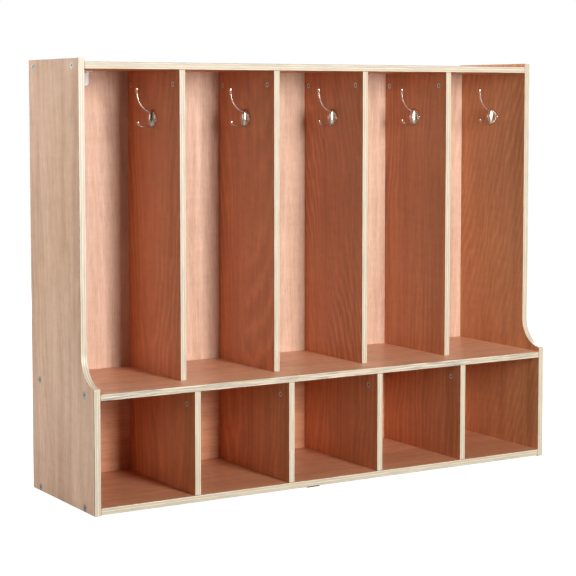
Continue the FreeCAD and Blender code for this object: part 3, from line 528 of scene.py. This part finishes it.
def add_prong(form, path, bulb):
    """Round prong in the plane across the board: full at its root, slim, then a teardrop tip."""
    lengths = [0.0]
    for before, after in zip(path, path[1:]):
        lengths.append(lengths[-1] + (after - before).length)
    whole = lengths[-1]
    rings = []
    for index in range(1, len(path) - 1):
        along = (path[index + 1] - path[index - 1]).normalized()
        side = Vector((-along.z, 0.0, along.x))
        left = whole - lengths[index]
        near_root = math.exp(-lengths[index] / PRONG_BLEND)
        near_tip = math.exp(-((left - bulb * 1.5) / PRONG_BLEND) ** 2)
        radius = PRONG_WAIST_RADIUS + (PRONG_ROOT_RADIUS - PRONG_WAIST_RADIUS) * near_root
        radius += (bulb - PRONG_WAIST_RADIUS) * near_tip
        if left < bulb:
            radius *= math.sqrt(max(0.0, 1.0 - (1.0 - left / bulb) ** 2))
        ring = []
        for part in range(20):
            turn = math.tau * part / 20
            around = side * math.cos(turn) + Vector((0.0, 1.0, 0.0)) * math.sin(turn)
            ring.append(path[index] + around * radius)
        rings.append(ring)
    close_loft(form, rings, path[0], path[-1])


def arc(centre, radius, start, end, steps):
    """Points of an arc across the board; x is away from the board's face."""
    points = []
    for step in range(steps + 1):
        turn = start + (end - start) * step / steps
        points.append(centre + Vector((-math.cos(turn), 0.0, math.sin(turn))) * radius)
    return points


def straight(start, end, steps):
    """Points of a straight run without its last one."""
    return [start.lerp(end, step / steps) for step in range(steps)]


def upper_path():
    """From the root in the spine, down and out in one curve, then straight up to the tip."""
    centre = Vector((UPPER_CURVE - UPPER_REACH, 0.0, UPPER_CURVE_HEIGHT))
    points = arc(centre, UPPER_CURVE, UPPER_CURVE_START, 0.0, 40)
    start = points.pop()
    tip = start + Vector((0.0, 0.0, UPPER_RUN))
    return points + straight(start, tip, 24) + tip_points(start, tip)


def lower_path():
    """From the root straight out, then bent up."""
    root = Vector((-PRONG_ROOT_REACH, 0.0, -LOWER_DROP))
    bend = Vector((-LOWER_RUN, 0.0, -LOWER_DROP))
    centre = bend + Vector((0.0, 0.0, LOWER_CURVE))
    points = straight(root, bend, 12) + arc(centre, LOWER_CURVE, -math.pi / 2, LOWER_CURVE_END, 40)
    return points + tip_points(points[-2], points[-1])


def tip_points(before, end):
    """Close steps that let a tip round off."""
    along = (end - before).normalized()
    return [end + along * (TIP_STEP * step) for step in range(1, 5)]


def make_hook(index, metal):
    """Finer coat hook in the place of the plain one."""
    node = f"coat_hook_{index}"
    low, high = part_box(node)
    form = bmesh.new()
    add_plate(form, high.y - low.y)
    add_spine(form)
    add_prong(form, upper_path(), UPPER_TIP_RADIUS)
    add_prong(form, lower_path(), LOWER_TIP_RADIUS)
    middle = Vector((high.x, (low.y + high.y) / 2, low.z + HOOK_SPINE / 2))
    bmesh.ops.translate(form, verts=form.verts, vec=middle)
    bmesh.ops.recalc_face_normals(form, faces=form.faces)
    for face in form.faces:
        face.smooth = True
    mesh = bpy.data.meshes.new(f"chrome_hook_{index}")
    form.to_mesh(mesh)
    form.free()
    mesh.materials.append(metal)
    hook = bpy.data.objects.new(f"chrome_hook_{index}", mesh)
    bpy.context.scene.collection.objects.link(hook)
    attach(hook, BODY)
    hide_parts(node)


# Stage

def make_floor():
    """Pale floor that turns into the white surround away from the object."""
    mesh = bpy.data.meshes.new("floor")
    form = bmesh.new()
    bmesh.ops.create_grid(form, x_segments=1, y_segments=1, size=12.0)
    form.to_mesh(mesh)
    form.free()
    floor = bpy.data.objects.new("floor", mesh)
    bpy.context.scene.collection.objects.link(floor)
    tree = Tree("pale_floor")
    grain = tree.noise(tree.place(), 3.0, 3.0)
    tone = tree.mix(grain, rgb(0.30, 0.30, 0.30), rgb(0.34, 0.34, 0.34))
    mesh.materials.append(tree.finish(tone, 0.9))
    distance = tree.node("VectorMath", {0: tree.place()}, operation="LENGTH").outputs["Value"]
    glow = tree.fit(distance, 1.2, 3.5, 0.88, 1.0)
    seen = tree.node("LightPath").outputs["Is Camera Ray"]
    tree.shader.inputs["Emission Color"].default_value = rgb(1.0, 1.0, 1.0)
    tree.put(tree.shader.inputs["Emission Strength"], tree.math("MULTIPLY", glow, seen))


def make_surround():
    """White surround that lights the object only faintly."""
    world = bpy.data.worlds.new("studio")
    world.use_nodes = True
    bpy.context.scene.world = world
    nodes = world.node_tree.nodes
    links = world.node_tree.links
    fill = nodes["Background"]
    fill.inputs["Color"].default_value = rgb(1.0, 1.0, 1.0)
    fill.inputs["Strength"].default_value = FILL
    white = nodes.new("ShaderNodeBackground")
    white.inputs["Color"].default_value = rgb(1.0, 1.0, 1.0)
    path = nodes.new("ShaderNodeLightPath")
    pick = nodes.new("ShaderNodeMixShader")
    links.new(path.outputs["Is Camera Ray"], pick.inputs[0])
    links.new(fill.outputs[0], pick.inputs[1])
    links.new(white.outputs[0], pick.inputs[2])
    links.new(pick.outputs[0], nodes["World Output"].inputs["Surface"])


def softbox(name, place, target, width, height, power):
    """Rectangular soft light aimed at a point."""
    lamp = bpy.data.lights.new(name, "AREA")
    lamp.shape = "RECTANGLE"
    lamp.size = width
    lamp.size_y = height
    lamp.energy = power
    light = bpy.data.objects.new(name, lamp)
    light.location = place
    aim = Vector(target) - Vector(place)
    light.rotation_mode = "QUATERNION"
    light.rotation_quaternion = aim.to_track_quat("-Z", "Y")
    bpy.context.scene.collection.objects.link(light)


def make_lights():
    """Key in front and a little right, and a soft light for each side, the back and the top."""
    middle = (0.0, 0.0, 0.5)
    softbox("key", (0.22, -3.4, 1.25), (0.22, 0.0, 0.6), 0.67, 1.2, 152.0)
    softbox("front_left", (-3.0, -2.3, 1.3), middle, 1.8, 1.8, 16.0)
    softbox("left_side", (-2.7, 1.6, 1.7), middle, 1.4, 1.4, 84.0)
    softbox("right_side", (2.7, 1.6, 1.7), middle, 1.4, 1.4, 70.0)
    softbox("rear", (0.8, 3.4, 1.8), middle, 2.4, 2.4, 90.0)
    softbox("top", (0.0, -0.4, 3.4), middle, 1.4, 1.4, 20.0)


def make_camera():
    """Camera at the left front, looking slightly down."""
    lens = bpy.data.cameras.new("camera")
    lens.lens = CAMERA_LENS
    lens.sensor_width = 36.0
    lens.shift_y = CAMERA_SHIFT
    camera = bpy.data.objects.new("camera", lens)
    camera.location = CAMERA_PLACE
    camera.rotation_euler = (math.pi / 2 - CAMERA_FALL, 0.0, -CAMERA_TURN)
    bpy.context.scene.collection.objects.link(camera)
    bpy.context.scene.camera = camera


make_camera()
make_floor()
make_surround()
make_lights()
finish_boards()
bright_metal = finish_fittings()
for number in range(1, 6):
    make_hook(number, bright_metal)

bpy.context.scene.view_settings.view_transform = "Standard"
